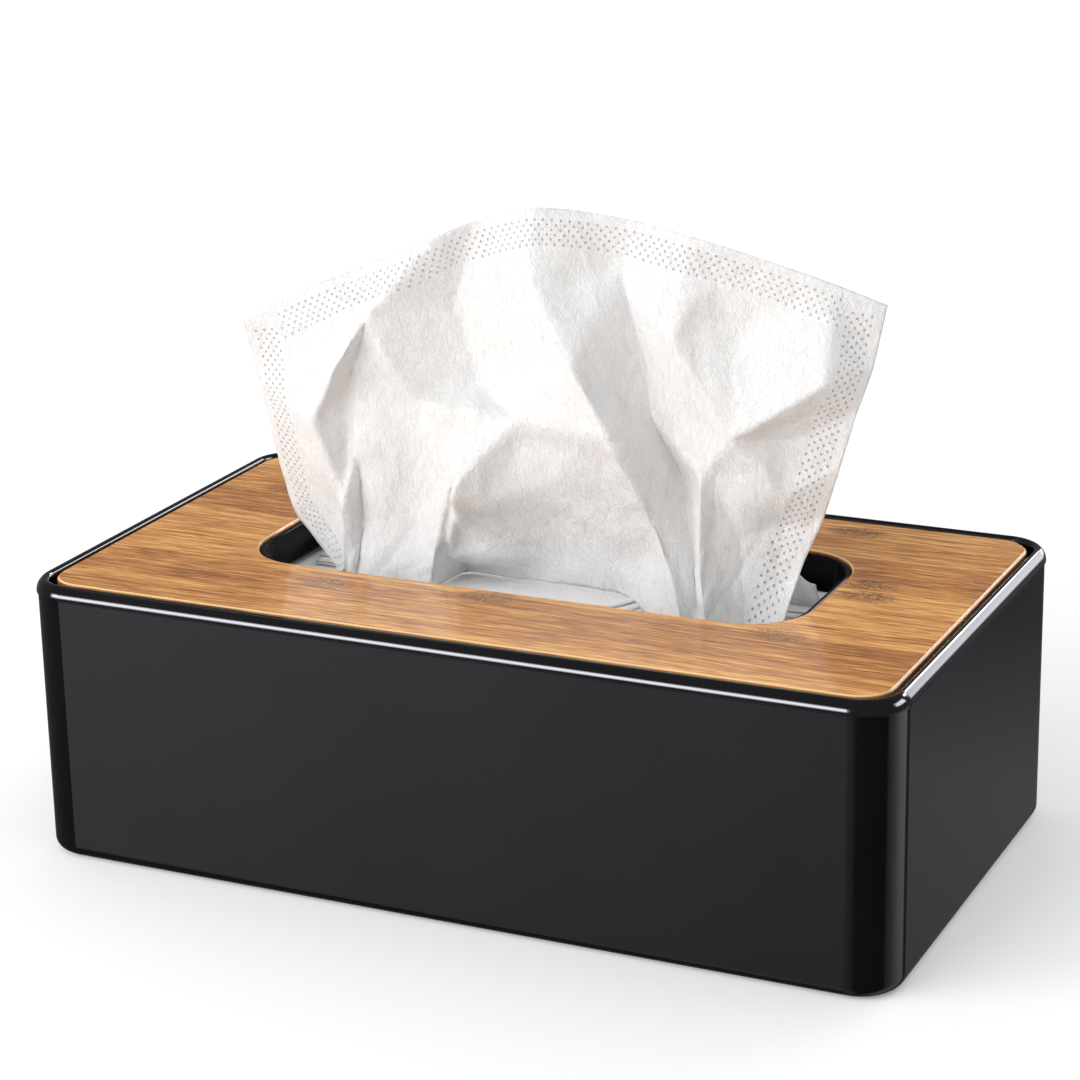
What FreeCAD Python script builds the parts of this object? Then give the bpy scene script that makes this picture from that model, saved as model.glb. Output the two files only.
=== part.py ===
import FreeCAD, Part
import math
import os
import Sketcher

# Tissue box: an open moulded tub, a bamboo lid with a slot collar, and the tissues in it.
# Millimetres. X runs along the box, the front faces -Y, +Z is up.
# The origin is the centre of the box's footprint, on the surface that it stands on.

SIZES = [
    ("tub_length", 250.0),
    ("tub_width", 140.0),
    ("tub_height", 80.0),
    ("tub_corner_radius", 12.5),
    ("rim_width", 3.7),
    ("bead_height", 4.4),
    ("bead_proud", 0.4),
    ("bead_top_radius", 4.0),
    ("bead_foot_radius", 0.3),
    ("rim_arris_radius", 1.3),
    ("base_thickness", 2.5),
    ("base_edge_radius", 3.5),
    ("inside_floor_radius", 2.0),
    ("standing_rim_width", 8.0),
    ("standing_rim_height", 0.8),
    ("rib_width", 6.0),
    ("rib_from_end", 45.0),
    ("rib_hold", 3.0),
    ("rib_nib_height", 3.0),
    ("lid_gap", 1.3),
    ("lid_fit", 0.3),
    ("lid_thickness", 5.0),
    ("lid_below_rim", 0.8),
    ("lid_corner_radius", 9.5),
    ("lid_arris", 0.6),
    ("slot_length", 163.4),
    ("slot_width", 63.6),
    ("slot_setback", 4.8),
    ("slot_corner_radius", 18.0),
    ("collar_fit", 0.2),
    ("collar_wall", 1.5),
    ("collar_below_top", 0.7),
    ("collar_depth", 10.3),
    ("collar_lip_radius", 0.6),
    ("flange_reach", 5.0),
    ("flange_thickness", 1.2),
    ("stack_length", 190.0),
    ("stack_depth", 104.0),
    ("stack_below_collar", 1.7),
    ("stack_fold_radius", 2.0),
    ("stack_corner_radius", 1.5),
    ("paper_gap", 0.3),
    ("wad_room", 3.7),
    ("wad_thickness", 3.2),
    ("wad_corner_radius", 8.0),
    ("wad_edge_radius", 1.2),
    ("flap_height", 13.0),
    ("flap_width", 20.0),
    ("flap_lean", 4.0),
    ("flap_thickness", 1.2),
    ("flap_setback", 16.5),
    ("sheet_foot_room", 14.25),
    ("sheet_setback", 1.0),
    ("sheet_top_width", 180.0),
    ("sheet_rise", 108.0),
    ("sheet_fold_depth", 28.0),
    ("sheet_thickness", 0.5),
]

# The standing sheet as a net of flat facets that meet at its folds. Each point is
# (across, up, back) in millimetres from the middle of the sheet's foot, for a sheet of
# the size that the driving sizes start from.
SHEET_POINTS = {
    "corner_left": (-88.0, 71.0, -12.0),
    "top_left_a": (-69.5, 81.0, -12.0),
    "top_left_b": (-51.5, 88.0, -7.0),
    "top_left_c": (-30.5, 97.5, -9.0),
    "top_left_d": (-19.5, 102.5, -2.0),
    "peak": (-2.0, 108.0, -6.0),
    "top_right_a": (9.5, 107.0, -1.0),
    "top_right_b": (25.5, 104.0, 4.0),
    "top_right_c": (41.5, 102.0, 0.0),
    "top_right_d": (55.5, 98.0, 3.0),
    "top_right_e": (78.0, 91.5, 6.0),
    "corner_right": (92.0, 85.0, 12.0),
    "left_a": (-85.5, 56.5, -10.0),
    "left_b": (-83.0, 39.5, -8.0),
    "left_c": (-82.0, 26.0, -5.0),
    "left_d": (-80.0, 13.0, -2.0),
    "left_e": (-70.5, 3.0, -3.0),
    "foot_left": (-63.0, 0.0, -8.0),
    "right_a": (89.0, 68.5, 10.0),
    "right_b": (85.5, 57.0, 8.0),
    "right_c": (81.0, 40.5, 7.0),
    "right_d": (77.0, 26.5, 6.0),
    "right_e": (72.0, 14.0, 4.0),
    "foot_right": (68.5, 0.0, 1.0),
    "pillow_top": (-47.5, 75.5, -15.0),
    "pillow_left": (-64.5, 45.0, -16.0),
    "pillow_right": (-20.0, 56.0, -1.0),
    "pillow_dip": (-55.5, 57.5, -4.0),
    "pillow_face": (-36.0, 52.5, -10.0),
    "upper_dip": (-28.0, 79.0, 0.0),
    "ridge_top": (-1.5, 87.0, -8.0),
    "ridge_upper": (12.5, 68.0, -12.0),
    "ridge_star": (25.5, 49.0, -15.0),
    "ridge_lower": (34.0, 25.5, -8.0),
    "foot_ridge": (45.0, 0.0, -7.0),
    "middle_top": (-4.5, 50.5, -11.0),
    "middle_left": (-10.5, 24.5, -6.0),
    "middle_right": (12.5, 25.0, -6.0),
    "middle_dip": (-4.0, 11.5, 0.0),
    "side_dip": (-22.5, 16.5, 0.0),
    "crest_upper": (-23.0, 31.5, -14.0),
    "crest_lower": (-27.0, 16.0, -14.0),
    "foot_crest": (-31.0, 0.0, -14.0),
    "foot_side": (-28.0, 0.0, 3.0),
    "foot_middle": (0.0, 0.0, 3.0),
    "foot_turn": (24.0, 0.0, 2.0),
    "valley_top": (19.5, 90.0, 4.0),
    "valley_middle": (29.0, 51.5, 6.0),
    "valley_bend": (39.5, 33.5, 7.0),
    "valley_foot": (46.0, 4.5, -1.0),
    "pleat_top": (46.5, 38.5, -4.0),
    "pleat_middle": (47.5, 15.5, -7.0),
    "foot_pleat": (51.0, 0.0, -7.0),
    "foot_hollow": (57.0, 0.0, 3.0),
    "hollow": (55.5, 21.5, 4.0),
    "star_left": (37.0, 75.0, -2.0),
    "star_dip": (51.5, 75.0, 6.0),
    "star_middle": (55.0, 49.5, -5.0),
    "star_right": (80.0, 65.5, -1.0),
    "side_hollow": (67.5, 47.5, 6.0),
    "side_star": (68.0, 34.5, -1.0),
    "channel_ridge": (-56.5, 23.0, -14.0),
    "foot_channel": (-57.5, 0.0, -13.0),
    "channel_upper": (-54.5, 36.0, -1.0),
    "channel_lower": (-53.5, 14.5, -1.0),
    "foot_dip": (-54.0, 0.0, -4.0),
}

# The facets between those points, each a triangle, from the left edge to the right edge.
SHEET_FACETS = [
    ("corner_left", "top_left_a", "left_a"),
    ("top_left_a", "pillow_top", "left_a"),
    ("top_left_a", "top_left_b", "pillow_top"),
    ("left_a", "pillow_top", "pillow_left"),
    ("left_a", "pillow_left", "left_b"),
    ("left_b", "pillow_left", "left_c"),
    ("pillow_left", "channel_ridge", "left_c"),
    ("left_c", "channel_ridge", "left_d"),
    ("left_d", "channel_ridge", "left_e"),
    ("left_e", "channel_ridge", "foot_channel"),
    ("left_e", "foot_channel", "foot_left"),
    ("top_left_b", "top_left_c", "pillow_top"),
    ("top_left_c", "upper_dip", "pillow_top"),
    ("top_left_c", "top_left_d", "upper_dip"),
    ("top_left_d", "ridge_top", "upper_dip"),
    ("top_left_d", "peak", "ridge_top"),
    ("pillow_top", "upper_dip", "pillow_right"),
    ("pillow_top", "pillow_right", "pillow_face"),
    ("pillow_top", "pillow_face", "pillow_dip"),
    ("pillow_top", "pillow_dip", "pillow_left"),
    ("pillow_dip", "channel_upper", "pillow_left"),
    ("pillow_dip", "pillow_face", "channel_upper"),
    ("pillow_left", "channel_upper", "channel_ridge"),
    ("channel_ridge", "channel_upper", "channel_lower"),
    ("channel_ridge", "channel_lower", "foot_channel"),
    ("foot_channel", "channel_lower", "foot_dip"),
    ("pillow_face", "pillow_right", "middle_top"),
    ("pillow_face", "middle_top", "crest_upper"),
    ("pillow_face", "crest_upper", "channel_upper"),
    ("channel_upper", "crest_upper", "channel_lower"),
    ("channel_lower", "crest_upper", "crest_lower"),
    ("channel_lower", "crest_lower", "foot_crest"),
    ("channel_lower", "foot_crest", "foot_dip"),
    ("upper_dip", "ridge_top", "pillow_right"),
    ("ridge_top", "ridge_upper", "pillow_right"),
    ("pillow_right", "ridge_upper", "middle_top"),
    ("ridge_upper", "ridge_star", "middle_top"),
    ("middle_top", "ridge_star", "middle_left"),
    ("middle_top", "middle_left", "crest_upper"),
    ("crest_upper", "middle_left", "side_dip"),
    ("crest_upper", "side_dip", "crest_lower"),
    ("crest_lower", "side_dip", "foot_side"),
    ("crest_lower", "foot_side", "foot_crest"),
    ("middle_left", "ridge_star", "middle_right"),
    ("middle_left", "middle_right", "middle_dip"),
    ("middle_left", "middle_dip", "side_dip"),
    ("side_dip", "middle_dip", "foot_side"),
    ("foot_side", "middle_dip", "foot_middle"),
    ("middle_right", "ridge_star", "ridge_lower"),
    ("middle_right", "ridge_lower", "middle_dip"),
    ("middle_dip", "ridge_lower", "foot_middle"),
    ("foot_middle", "ridge_lower", "foot_turn"),
    ("foot_turn", "ridge_lower", "foot_ridge"),
    ("peak", "top_right_a", "ridge_top"),
    ("top_right_a", "valley_top", "ridge_top"),
    ("top_right_a", "top_right_b", "valley_top"),
    ("ridge_top", "valley_top", "ridge_upper"),
    ("valley_top", "valley_middle", "ridge_upper"),
    ("ridge_upper", "valley_middle", "ridge_star"),
    ("ridge_star", "valley_middle", "valley_bend"),
    ("ridge_star", "valley_bend", "ridge_lower"),
    ("ridge_lower", "valley_bend", "valley_foot"),
    ("ridge_lower", "valley_foot", "foot_ridge"),
    ("top_right_b", "top_right_c", "valley_top"),
    ("top_right_c", "star_left", "valley_top"),
    ("valley_top", "star_left", "valley_middle"),
    ("star_left", "star_middle", "valley_middle"),
    ("valley_middle", "star_middle", "pleat_top"),
    ("valley_middle", "pleat_top", "valley_bend"),
    ("valley_bend", "pleat_top", "pleat_middle"),
    ("valley_bend", "pleat_middle", "valley_foot"),
    ("valley_foot", "pleat_middle", "foot_pleat"),
    ("valley_foot", "foot_pleat", "foot_ridge"),
    ("top_right_c", "top_right_d", "star_dip"),
    ("top_right_c", "star_dip", "star_left"),
    ("top_right_d", "top_right_e", "star_dip"),
    ("star_left", "star_dip", "star_middle"),
    ("star_dip", "star_right", "star_middle"),
    ("star_dip", "top_right_e", "star_right"),
    ("top_right_e", "corner_right", "right_a"),
    ("top_right_e", "right_a", "star_right"),
    ("star_right", "right_a", "right_b"),
    ("star_middle", "star_right", "side_hollow"),
    ("star_right", "right_b", "side_hollow"),
    ("side_hollow", "right_b", "right_c"),
    ("star_middle", "side_hollow", "side_star"),
    ("side_hollow", "right_c", "side_star"),
    ("star_middle", "side_star", "hollow"),
    ("star_middle", "hollow", "pleat_top"),
    ("pleat_top", "hollow", "pleat_middle"),
    ("side_star", "right_c", "right_d"),
    ("side_star", "right_d", "hollow"),
    ("hollow", "right_d", "right_e"),
    ("pleat_middle", "hollow", "foot_hollow"),
    ("pleat_middle", "foot_hollow", "foot_pleat"),
    ("hollow", "right_e", "foot_hollow"),
    ("foot_hollow", "right_e", "foot_right"),
]

NEAR = 0.01
doc = FreeCAD.newDocument("tissue_box")
sheet = doc.addObject("Spreadsheet::Sheet", "sizes")


class Size:
    """A length kept as a number and as the expression that the document stores."""

    def __init__(self, text, value):
        self.text = text
        self.value = value

    def __add__(self, other):
        other = as_size(other)
        return Size("(%s + %s)" % (self.text, other.text), self.value + other.value)

    def __sub__(self, other):
        other = as_size(other)
        return Size("(%s - %s)" % (self.text, other.text), self.value - other.value)

    def __mul__(self, other):
        other = as_size(other)
        return Size("(%s * %s)" % (self.text, other.text), self.value * other.value)

    def __truediv__(self, other):
        other = as_size(other)
        return Size("(%s / %s)" % (self.text, other.text), self.value / other.value)

    def __neg__(self):
        return Size("(0 - %s)" % self.text, -self.value)


def as_size(number):
    """A plain number as a Size, or a Size as it is."""
    return number if isinstance(number, Size) else Size(str(number), float(number))


def fill_sheet():
    """Write each driving size to its own cell, and return the sizes by name."""
    for row, (name, value) in enumerate(SIZES, start=1):
        sheet.set("A%d" % row, name)
        sheet.set("B%d" % row, str(value))
        sheet.setAlias("B%d" % row, name)
    doc.recompute()
    return {name: Size("sizes." + name, float(sheet.get(name))) for name, value in SIZES}


def bind(thing, path, length):
    """Tie one property of an object to a length."""
    thing.setExpression(path, as_size(length).text)


class Outline:
    """A rounded rectangle seen from above, centred on the Y axis."""

    def __init__(self, length, width, radius, setback=0):
        self.length = as_size(length)
        self.width = as_size(width)
        self.radius = as_size(radius)
        self.setback = as_size(setback)

    def inset(self, distance):
        """The parallel outline that lies a distance inside this one."""
        return Outline(self.length - distance * 2, self.width - distance * 2,
                       self.radius - distance, self.setback)

    def draw(self, sketch):
        """Add the outline to a sketch, with its sizes bound."""
        half_x = self.length.value / 2
        half_y = self.width.value / 2
        radius = self.radius.value
        middle = self.setback.value
        first = sketch.GeometryCount
        flat_x = half_x - radius
        flat_y = half_y - radius
        corners = [(1, 1, 0), (-1, 1, 1), (-1, -1, 2), (1, -1, 3)]
        for side_x, side_y, quarter in corners:
            centre = FreeCAD.Vector(side_x * flat_x, middle + side_y * flat_y, 0)
            circle = Part.Circle(centre, FreeCAD.Vector(0, 0, 1), radius)
            start = quarter * math.pi / 2
            sketch.addGeometry(Part.ArcOfCircle(circle, start, start + math.pi / 2), False)
        for number in range(4):
            before = sketch.Geometry[first + number]
            after = sketch.Geometry[first + (number + 1) % 4]
            sketch.addGeometry(Part.LineSegment(before.EndPoint, after.StartPoint), False)
        for number in range(4):
            arc = first + number
            line = first + 4 + number
            following = first + (number + 1) % 4
            direction = "Horizontal" if number % 2 == 0 else "Vertical"
            sketch.addConstraint(Sketcher.Constraint("Tangent", arc, 2, line, 1))
            sketch.addConstraint(Sketcher.Constraint("Tangent", line, 2, following, 1))
            sketch.addConstraint(Sketcher.Constraint(direction, line))
        for number in range(1, 4):
            sketch.addConstraint(Sketcher.Constraint("Equal", first, first + number))
        top = first + 4
        left = first + 5
        bottom = first + 6
        right = first + 7
        dimension(sketch, Sketcher.Constraint("Radius", first, radius), self.radius)
        dimension(sketch, Sketcher.Constraint("DistanceX", left, 1, -1, 1, half_x), self.length / 2)
        dimension(sketch, Sketcher.Constraint("DistanceX", -1, 1, right, 1, half_x), self.length / 2)
        dimension(sketch, Sketcher.Constraint("DistanceY", -1, 1, top, 1, middle + half_y),
                  self.setback + self.width / 2)
        dimension(sketch, Sketcher.Constraint("DistanceY", bottom, 1, -1, 1, half_y - middle),
                  self.width / 2 - self.setback)

    def holds(self, point):
        """Whether a point lies on the outline."""
        radius = self.radius.value
        out_x = abs(point.x) - (self.length.value / 2 - radius)
        out_y = abs(point.y - self.setback.value) - (self.width.value / 2 - radius)
        outside = math.hypot(max(out_x, 0), max(out_y, 0))
        return abs(outside + min(max(out_x, out_y), 0) - radius) < NEAR


def dimension(sketch, constraint, length):
    """Add a dimension to a sketch and bind it to a length."""
    number = sketch.addConstraint(constraint)
    bind(sketch, "Constraints[%d]" % number, length)


def rectangle(sketch, left, right, bottom, top):
    """Add a rectangle to a sketch, its four sides placed from the origin."""
    low_x, high_x, low_y, high_y = (as_size(side).value for side in (left, right, bottom, top))
    corners = [FreeCAD.Vector(low_x, low_y, 0), FreeCAD.Vector(high_x, low_y, 0),
               FreeCAD.Vector(high_x, high_y, 0), FreeCAD.Vector(low_x, high_y, 0)]
    first = polygon(sketch, corners)
    for number, direction in enumerate(("Horizontal", "Vertical", "Horizontal", "Vertical")):
        sketch.addConstraint(Sketcher.Constraint(direction, first + number))
    dimension(sketch, Sketcher.Constraint("DistanceX", -1, 1, first, 1, low_x), left)
    dimension(sketch, Sketcher.Constraint("DistanceX", -1, 1, first, 2, high_x), right)
    dimension(sketch, Sketcher.Constraint("DistanceY", -1, 1, first, 1, low_y), bottom)
    dimension(sketch, Sketcher.Constraint("DistanceY", -1, 1, first + 2, 1, high_y), top)


def polygon(sketch, corners):
    """Add closed straight sides through the corners, and return the first side's number."""
    first = sketch.GeometryCount
    count = len(corners)
    for number in range(count):
        side = Part.LineSegment(corners[number], corners[(number + 1) % count])
        sketch.addGeometry(side, False)
    for number in range(count):
        following = first + (number + 1) % count
        sketch.addConstraint(Sketcher.Constraint("Coincident", first + number, 2, following, 1))
    return first


def new_body(name):
    """An empty body whose label is its node name."""
    body = doc.addObject("PartDesign::Body", name)
    body.Label = name
    return body


def new_sketch(body, name, offset, role="XY_Plane"):
    """A sketch on one of the body's own origin planes, moved along the plane's normal."""
    plane = next(item for item in body.Origin.OriginFeatures if item.Role == role)
    sketch = body.newObject("Sketcher::SketchObject", name)
    sketch.AttachmentSupport = [(plane, "")]
    sketch.MapMode = "FlatFace"
    bind(sketch, "AttachmentOffset.Base.z", offset)
    return sketch


def level_sketch(body, name, height, *outlines):
    """A horizontal sketch of one or more outlines at a height."""
    sketch = new_sketch(body, name, height)
    for outline in outlines:
        outline.draw(sketch)
    return sketch


def pad(body, name, sketch, length):
    """Raise a sketch by a length."""
    feature = body.newObject("PartDesign::Pad", name)
    feature.Profile = sketch
    bind(feature, "Length", length)
    doc.recompute()
    return feature


def pocket_up(body, name, sketch, length):
    """Cut upwards from a sketch, and check that it took material away."""
    volume_before = body.Shape.Volume
    feature = body.newObject("PartDesign::Pocket", name)
    feature.Profile = sketch
    feature.Reversed = True
    bind(feature, "Length", length)
    doc.recompute()
    if body.Shape.Volume > volume_before - NEAR:
        raise ValueError(name + " cuts nothing")
    return feature


def round_outline(body, name, outlines, radius, kind="PartDesign::Fillet"):
    """Round or bevel the edges that lie on (outline, height) pairs."""
    names = []
    for number, edge in enumerate(body.Shape.Edges, start=1):
        middle = edge.valueAt((edge.FirstParameter + edge.LastParameter) / 2)
        spots = [edge.Vertexes[0].Point, middle, edge.Vertexes[-1].Point]
        for outline, height in outlines:
            level = as_size(height).value
            if all(abs(spot.z - level) < NEAR and outline.holds(spot) for spot in spots):
                names.append("Edge%d" % number)
    if not names:
        raise ValueError(name + " finds no edge")
    base = body.Tip
    feature = body.newObject(kind, name)
    feature.Base = (base, names)
    bind(feature, "Size" if kind.endswith("Chamfer") else "Radius", radius)
    body.Tip = feature
    doc.recompute()
    return feature


S = fill_sheet()

# Levels and outlines that several pieces share
lid_top = S["tub_height"] - S["lid_below_rim"]
lid_underside = lid_top - S["lid_thickness"]
collar_top = lid_top - S["collar_below_top"]
collar_foot = collar_top - S["collar_depth"]
stack_top = collar_foot - S["stack_below_collar"]
wad_foot = stack_top + S["paper_gap"]
wad_top = wad_foot + S["wad_thickness"]
sheet_foot = wad_top + S["paper_gap"]

bead_line = Outline(S["tub_length"], S["tub_width"], S["tub_corner_radius"])
wall_line = bead_line.inset(S["bead_proud"])
inside_line = bead_line.inset(S["rim_width"])
lid_inset = S["rim_width"] + S["lid_gap"]
lid_line = Outline(S["tub_length"] - lid_inset * 2, S["tub_width"] - lid_inset * 2,
                   S["lid_corner_radius"])
slot_line = Outline(S["slot_length"], S["slot_width"], S["slot_corner_radius"],
                    S["slot_setback"])
collar_line = slot_line.inset(S["collar_fit"])
collar_bore = collar_line.inset(S["collar_wall"])
flange_line = slot_line.inset(-S["flange_reach"])


def make_tub():
    """The open tub, with a beaded rim, and ribs inside that carry and centre the lid."""
    body = new_body("tub")
    bead_foot = S["tub_height"] - S["bead_height"]
    wall = level_sketch(body, "wall_outline", 0, wall_line)
    pad(body, "wall_block", wall, bead_foot)
    bead = level_sketch(body, "bead_outline", bead_foot, bead_line)
    pad(body, "bead_block", bead, S["bead_height"])
    round_outline(body, "bead_top_round", [(bead_line, S["tub_height"])], S["bead_top_radius"])
    inside = level_sketch(body, "inside_outline", S["base_thickness"], inside_line)
    pocket_up(body, "inside", inside, S["tub_height"])
    recess_line = wall_line.inset(S["standing_rim_width"])
    recess = level_sketch(body, "underside_outline", 0, recess_line)
    pocket_up(body, "underside_recess", recess, S["standing_rim_height"])
    round_outline(body, "inside_floor_round", [(inside_line, S["base_thickness"])],
                  S["inside_floor_radius"])
    round_outline(body, "base_round", [(wall_line, 0)], S["base_edge_radius"])
    round_outline(body, "bead_foot_round", [(bead_line, bead_foot)], S["bead_foot_radius"])
    top_radius = S["bead_top_radius"].value
    inner_reach = top_radius - S["rim_width"].value
    inner_fall = top_radius - math.sqrt(top_radius ** 2 - inner_reach ** 2)
    rim_edge = (inside_line, S["tub_height"].value - inner_fall)
    round_outline(body, "rim_arris", [rim_edge], S["rim_arris_radius"])
    ribs = new_sketch(body, "rib_outlines", S["base_thickness"] / 2)
    draw_ribs(ribs, S["lid_gap"] + S["rib_hold"])
    pad(body, "ribs", ribs, lid_underside - S["base_thickness"] / 2)
    nibs = new_sketch(body, "nib_outlines", S["base_thickness"] / 2)
    draw_ribs(nibs, S["lid_gap"] - S["lid_fit"])
    pad(body, "rib_nibs", nibs, lid_underside + S["rib_nib_height"] - S["base_thickness"] / 2)
    return body


def draw_ribs(sketch, reach):
    """Six rib sections: two on each long wall, one on each short wall, rooted in the wall."""
    root = S["rim_width"] / 2
    half_rib = S["rib_width"] / 2
    for side in (-1, 1):
        for end in (-1, 1):
            middle = (S["tub_length"] / 2 - S["rib_from_end"]) * end
            outer = (S["tub_width"] / 2 - root) * side
            inner = (S["tub_width"] / 2 - S["rim_width"] - reach) * side
            low, high = (outer, inner) if side < 0 else (inner, outer)
            rectangle(sketch, middle - half_rib, middle + half_rib, low, high)
        outer = (S["tub_length"] / 2 - root) * side
        inner = (S["tub_length"] / 2 - S["rim_width"] - reach) * side
        low, high = (outer, inner) if side < 0 else (inner, outer)
        rectangle(sketch, low, high, -half_rib, half_rib)


def make_lid():
    """The bamboo lid: one board with the dispensing slot and fine bevelled edges."""
    body = new_body("bamboo_lid")
    board = level_sketch(body, "board_outline", lid_underside, lid_line, slot_line)
    pad(body, "board", board, S["lid_thickness"])
    round_outline(body, "top_bevels", [(lid_line, lid_top), (slot_line, lid_top)],
                  S["lid_arris"], "PartDesign::Chamfer")
    return body


def make_collar():
    """The smooth collar that lines the slot, with a flange fixed under the board."""
    body = new_body("slot_collar")
    wall = level_sketch(body, "wall_outline", collar_foot, collar_line, collar_bore)
    pad(body, "wall", wall, S["collar_depth"])
    flange = level_sketch(body, "flange_outline", lid_underside - S["flange_thickness"],
                          flange_line, collar_bore)
    pad(body, "flange", flange, S["flange_thickness"])
    lips = [(collar_line, collar_top), (collar_bore, collar_top)]
    round_outline(body, "top_lip", lips, S["collar_lip_radius"])
    feet = [(collar_line, collar_foot), (collar_bore, collar_foot)]
    round_outline(body, "lower_lip", feet, S["collar_lip_radius"])
    return body


def make_stack():
    """The pack of folded tissues, its long sides rounded by the folds."""
    body = new_body("tissue_stack")
    block_line = Outline(S["stack_length"], S["stack_depth"], S["stack_corner_radius"])
    block = level_sketch(body, "pack_outline", S["base_thickness"] + S["paper_gap"], block_line)
    height = stack_top - S["base_thickness"] - S["paper_gap"]
    pad(body, "pack", block, height)
    levels = [(block_line, stack_top), (block_line, S["base_thickness"] + S["paper_gap"])]
    round_outline(body, "fold_rounds", levels, S["stack_fold_radius"])
    return body


def make_next_tissue():
    """The next tissue: a flat fold in the slot, with one end drawn up behind the first."""
    body = new_body("next_tissue")
    wad_line = Outline(collar_bore.length - S["wad_room"] * 2,
                       collar_bore.width - S["wad_room"] * 2,
                       S["wad_corner_radius"], S["slot_setback"])
    fold = level_sketch(body, "fold_outline", wad_foot, wad_line)
    pad(body, "fold", fold, S["wad_thickness"])
    round_outline(body, "fold_round", [(wad_line, wad_top)], S["wad_edge_radius"])
    flap = new_sketch(body, "flap_outline", -S["flap_setback"], "XZ_Plane")
    right = wad_line.length / 2 - S["wad_edge_radius"]
    left = right - S["flap_width"]
    foot = wad_foot + S["wad_thickness"] / 2
    tip = wad_top + S["flap_height"]
    corners = [(left, foot), (right, foot), (right - S["flap_lean"], tip),
               (left + S["flap_lean"], tip - S["flap_lean"])]
    places = [FreeCAD.Vector(across.value, up.value, 0) for across, up in corners]
    first = polygon(flap, places)
    for number, (across, up) in enumerate(corners):
        side = first + number
        dimension(flap, Sketcher.Constraint("DistanceX", -1, 1, side, 1, across.value), across)
        dimension(flap, Sketcher.Constraint("DistanceY", -1, 1, side, 1, up.value), up)
    pad(body, "flap", flap, S["flap_thickness"])
    return body


def sheet_point(name):
    """Where one point of the standing sheet lies, from the net and the driving sizes."""
    across, up, back = SHEET_POINTS[name]
    net_across, net_up, net_back = zip(*SHEET_POINTS.values())
    net_foot = SHEET_POINTS["foot_right"][0] - SHEET_POINTS["foot_left"][0]
    foot_width = collar_bore.length.value - S["sheet_foot_room"].value * 2
    foot_scale = foot_width / net_foot
    top_scale = S["sheet_top_width"].value / (max(net_across) - min(net_across))
    share_up = up / max(net_up)
    wide = foot_scale + (top_scale - foot_scale) * share_up
    deep = S["sheet_fold_depth"].value / (max(net_back) - min(net_back))
    foot_back = S["slot_setback"] + S["sheet_setback"]
    return FreeCAD.Vector(across * wide, foot_back.value + back * deep,
                          sheet_foot.value + share_up * S["sheet_rise"].value)


def make_sheet():
    """The tissue that stands in the slot, a thin folded sheet held by the slot's sides."""
    points = {name: sheet_point(name) for name in SHEET_POINTS}
    half = FreeCAD.Vector(0, S["sheet_thickness"].value / 2, 0)
    faces = []
    uses = {}
    for facet in SHEET_FACETS:
        corners = [points[name] for name in facet]
        for shift in (-half, half):
            moved = [corner + shift for corner in corners]
            faces.append(Part.Face(Part.makePolygon(moved + moved[:1])))
        for start, end in zip(facet, facet[1:] + facet[:1]):
            uses.setdefault(frozenset((start, end)), []).append((start, end))
    for sides in uses.values():
        if len(sides) == 1:
            start, end = (points[name] for name in sides[0])
            edge = [start - half, end - half, end + half, start + half]
            faces.append(Part.Face(Part.makePolygon(edge + edge[:1])))
    shell = Part.Shell(faces)
    solid = Part.Solid(shell)
    if solid.Volume < 0:
        solid.reverse()
    feature = doc.addObject("Part::Feature", "pulled_tissue")
    feature.Shape = solid
    feature.Placement = FreeCAD.Placement()
    feature.Label = "pulled_tissue"
    return feature


def check_document(pieces):
    """Stop if any object failed, or any piece has no sound closed shape."""
    for item in doc.Objects:
        for fault in ("Invalid", "Error"):
            if fault in item.State:
                raise ValueError("%s is in state %s" % (item.Name, fault))
    for piece in pieces:
        shape = piece.Shape
        if shape.isNull() or not shape.isValid() or len(shape.Solids) != 1:
            raise ValueError(piece.Label + " is not one sound solid")


pieces = [make_tub(), make_lid(), make_collar(), make_stack(), make_next_tissue(), make_sheet()]
doc.recompute()
check_document(pieces)
os.makedirs("parts", exist_ok=True)
for piece in pieces:
    piece.Shape.exportStep(os.path.join("parts", piece.Label + ".step"))
    print(piece.Label, "volume", round(piece.Shape.Volume), "mm3")
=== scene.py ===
import math
import bpy
import numpy as np
from mathutils import Matrix, Vector, noise


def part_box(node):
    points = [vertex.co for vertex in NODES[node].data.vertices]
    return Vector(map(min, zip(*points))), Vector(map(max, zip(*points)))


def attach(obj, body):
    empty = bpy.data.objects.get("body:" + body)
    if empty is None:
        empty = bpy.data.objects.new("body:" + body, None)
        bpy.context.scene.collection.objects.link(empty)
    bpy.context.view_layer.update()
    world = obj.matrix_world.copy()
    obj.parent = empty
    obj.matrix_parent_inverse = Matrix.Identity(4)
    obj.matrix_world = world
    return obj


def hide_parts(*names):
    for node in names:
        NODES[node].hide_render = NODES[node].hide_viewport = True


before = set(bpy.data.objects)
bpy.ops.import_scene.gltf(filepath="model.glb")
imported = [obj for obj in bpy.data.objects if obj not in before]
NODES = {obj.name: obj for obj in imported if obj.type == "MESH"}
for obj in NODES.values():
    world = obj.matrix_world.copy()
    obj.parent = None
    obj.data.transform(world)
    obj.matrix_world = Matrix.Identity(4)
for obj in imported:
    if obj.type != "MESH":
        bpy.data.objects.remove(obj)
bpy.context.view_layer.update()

MM = 0.001

# The camera, from the photograph's vanishing lines
CAMERA_TURN = math.radians(25.18)
CAMERA_RISE = math.radians(18.20)
CAMERA_ROLL = math.radians(-1.153)
CAMERA_DISTANCE = 0.87235
CAMERA_ACROSS = -0.00247
CAMERA_UP = 0.08115
CAMERA_LENS = 102.86
SENSOR_WIDTH = 36.0

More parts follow.
